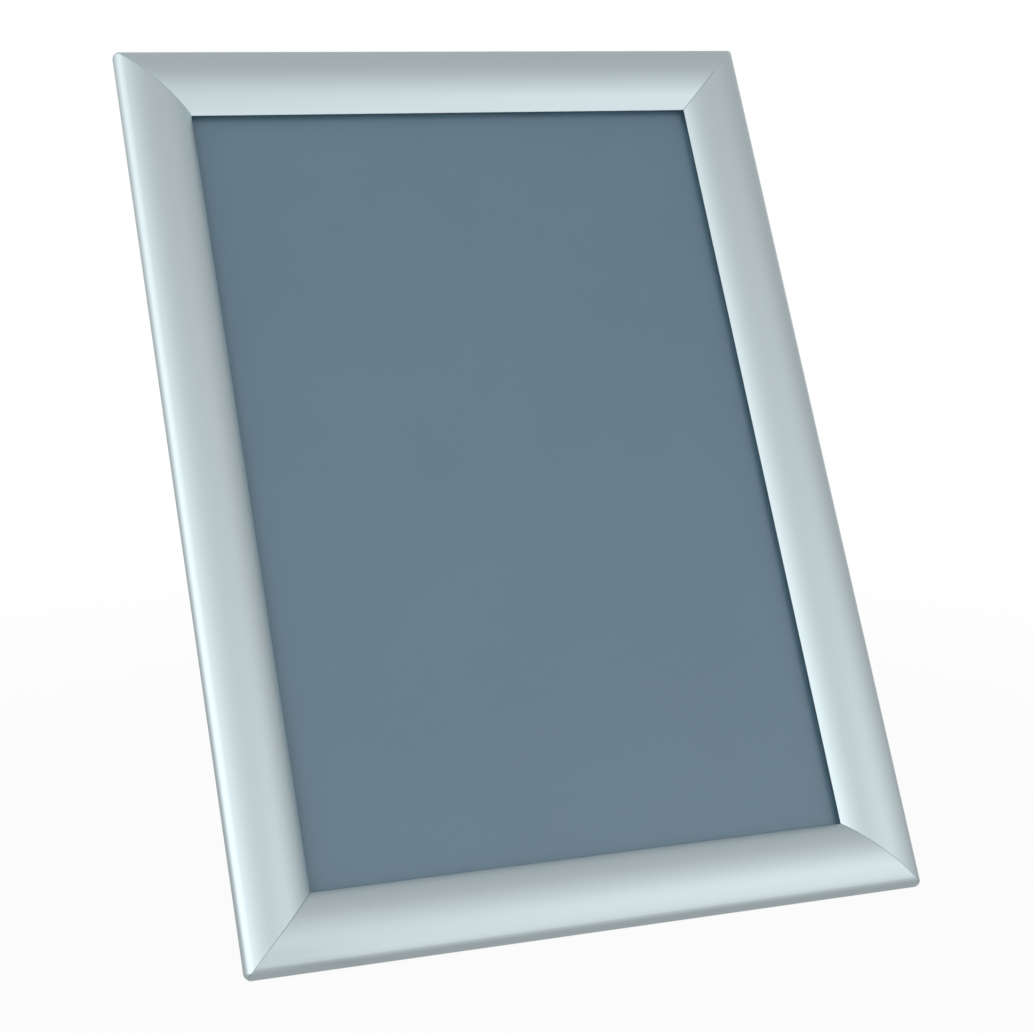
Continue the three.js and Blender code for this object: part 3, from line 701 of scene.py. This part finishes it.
# glow of the table in the metal, bright in front, with a painted shadow close under and behind the frame
glow_with_painted_shadow = tree.nodes.new("ShaderNodeMapRange")
glow_with_painted_shadow.interpolation_type = "SMOOTHSTEP"
join(tree, depth.outputs["Y"], glow_with_painted_shadow.inputs["Value"])
glow_with_painted_shadow.inputs["From Min"].default_value = GLOW_FAR[0]
glow_with_painted_shadow.inputs["From Max"].default_value = GLOW_NEAR_PAINTED_SHADOW[0]
glow_with_painted_shadow.inputs["To Min"].default_value = GLOW_FAR[1]
glow_with_painted_shadow.inputs["To Max"].default_value = GLOW_NEAR_PAINTED_SHADOW[1]
path = tree.nodes.new("ShaderNodeLightPath")
strength = tree.nodes.new("ShaderNodeMix")
join(tree, path.outputs["Is Camera Ray"], strength.inputs["Factor"])
join(tree, glow_with_painted_shadow.outputs["Result"], strength.inputs[2])
strength.inputs[3].default_value = 1.0
join(tree, strength.outputs[0], white.inputs["Strength"])
away = tree.nodes.new("ShaderNodeVectorMath")
away.operation = "LENGTH"
join(tree, coords.outputs["Object"], away.inputs[0])
fade = tree.nodes.new("ShaderNodeMapRange")
fade.interpolation_type = "SMOOTHSTEP"
join(tree, away.outputs["Value"], fade.inputs["Value"])
fade.inputs["From Min"].default_value = SHADOW_FADE[0]
fade.inputs["From Max"].default_value = SHADOW_FADE[1]
fade.inputs["To Min"].default_value = FLOOR_WHITE
fade.inputs["To Max"].default_value = 1.0
share = calc(tree, "MULTIPLY", path.outputs["Is Camera Ray"], fade.outputs["Result"])
share = calc(tree, "MAXIMUM", share, path.outputs["Is Glossy Ray"])
blend = tree.nodes.new("ShaderNodeMixShader")
join(tree, share, blend.inputs["Fac"])
join(tree, matt.outputs[0], blend.inputs[1])
join(tree, white.outputs[0], blend.inputs[2])
join(tree, blend.outputs[0], tree.nodes.new("ShaderNodeOutputMaterial").inputs["Surface"])
floor = new_piece("table", floor_mesh, floor_paper)

# Studio light
# A soft white tent stands round the table, with brighter cloths on the left and in front. It lights the
# object and shows in the metal, but the camera looks through it to a white backdrop.
TENT_RADIUS = 0.9
TENT_MIDDLE = Vector((0, 0, 0.14))
TENT_LEVEL = 0.515
CLOTHS = (  # degrees from the front to the right, degrees up, light added in the cloth's middle
    (-130, 37, 0.34),
    (-85, 37, 0.58),
    (-40, 37, 0.24),
    (0, 37, 0.16),
    (40, 37, 0.14),
    (-90, 5, 0.62),
    (-60, 5, 0.87),
    (-30, 5, 0.28),
    (0, 5, 0.15),
    (30, 5, 0.58),
    (60, 5, 0.19),
    (90, 10, -0.12),
    (125, 5, 0.24),
)
CLOTH_FALL = 12.0  # how fast a cloth gets dimmer away from its middle

tent_mesh = bpy.data.meshes.new("tent")
ball = bmesh.new()
tent_place = Matrix.Translation(TENT_MIDDLE)
bmesh.ops.create_uvsphere(ball, u_segments=96, v_segments=48, radius=TENT_RADIUS, matrix=tent_place)
ball.to_mesh(tent_mesh)
ball.free()
tent_cloth = bpy.data.materials.new("tent_cloth")
tent_cloth.use_nodes = True
tree = tent_cloth.node_tree
tree.nodes.clear()
from_centre = tree.nodes.new("ShaderNodeVectorMath")
from_centre.operation = "SUBTRACT"
join(tree, tree.nodes.new("ShaderNodeTexCoord").outputs["Object"], from_centre.inputs[0])
from_centre.inputs[1].default_value = TENT_MIDDLE
level = TENT_LEVEL
for turn, rise, gain in CLOTHS:
    cloth_way = Matrix.Rotation(math.radians(turn), 3, "Z")
    cloth_way = cloth_way @ Matrix.Rotation(math.radians(-rise), 3, "X")
    towards = tree.nodes.new("ShaderNodeVectorMath")
    towards.operation = "DOT_PRODUCT"
    join(tree, from_centre.outputs[0], towards.inputs[0])
    towards.inputs[1].default_value = cloth_way @ Vector((0, -1 / TENT_RADIUS, 0))
    facing = calc(tree, "POWER", calc(tree, "MAXIMUM", towards.outputs["Value"], 0.0), CLOTH_FALL)
    level = calc(tree, "ADD", calc(tree, "MULTIPLY", facing, gain), level)
shine = tree.nodes.new("ShaderNodeEmission")
join(tree, level, shine.inputs["Strength"])
path = tree.nodes.new("ShaderNodeLightPath")
blend = tree.nodes.new("ShaderNodeMixShader")
join(tree, path.outputs["Is Camera Ray"], blend.inputs["Fac"])
join(tree, shine.outputs[0], blend.inputs[1])
join(tree, tree.nodes.new("ShaderNodeBsdfTransparent").outputs[0], blend.inputs[2])
join(tree, blend.outputs[0], tree.nodes.new("ShaderNodeOutputMaterial").inputs["Surface"])
tent_cloth.cycles.emission_sampling = "NONE"
tent = new_piece("tent", tent_mesh, tent_cloth)

world = bpy.data.worlds.new("white_backdrop")
bpy.context.scene.world = world
world.use_nodes = True
world.node_tree.nodes["Background"].inputs["Color"].default_value = (1, 1, 1, 1)
world.node_tree.nodes["Background"].inputs["Strength"].default_value = 1.0

# Camera
# Solved from the photograph's edges: a long lens a little above the frame and to its left.
SENSOR = 36.0
LENS = 81.536
CAMERA_PLACE = (-0.280739, -0.754455, 0.288043)
SIGHT = Vector((0.343360, 0.917886, -0.198974))
ROLL = math.radians(-0.05)

camera = bpy.data.objects.new("camera", bpy.data.cameras.new("camera"))
camera.data.sensor_fit = "HORIZONTAL"
camera.data.sensor_width = SENSOR
camera.data.lens = LENS
camera.data.clip_start = 0.01
camera.location = CAMERA_PLACE
roll = Quaternion((0, 0, 1), ROLL)
camera.rotation_euler = (SIGHT.to_track_quat("-Z", "Y") @ roll).to_euler()
bpy.context.scene.collection.objects.link(camera)
bpy.context.scene.camera = camera
bpy.context.scene.view_settings.view_transform = "Standard"
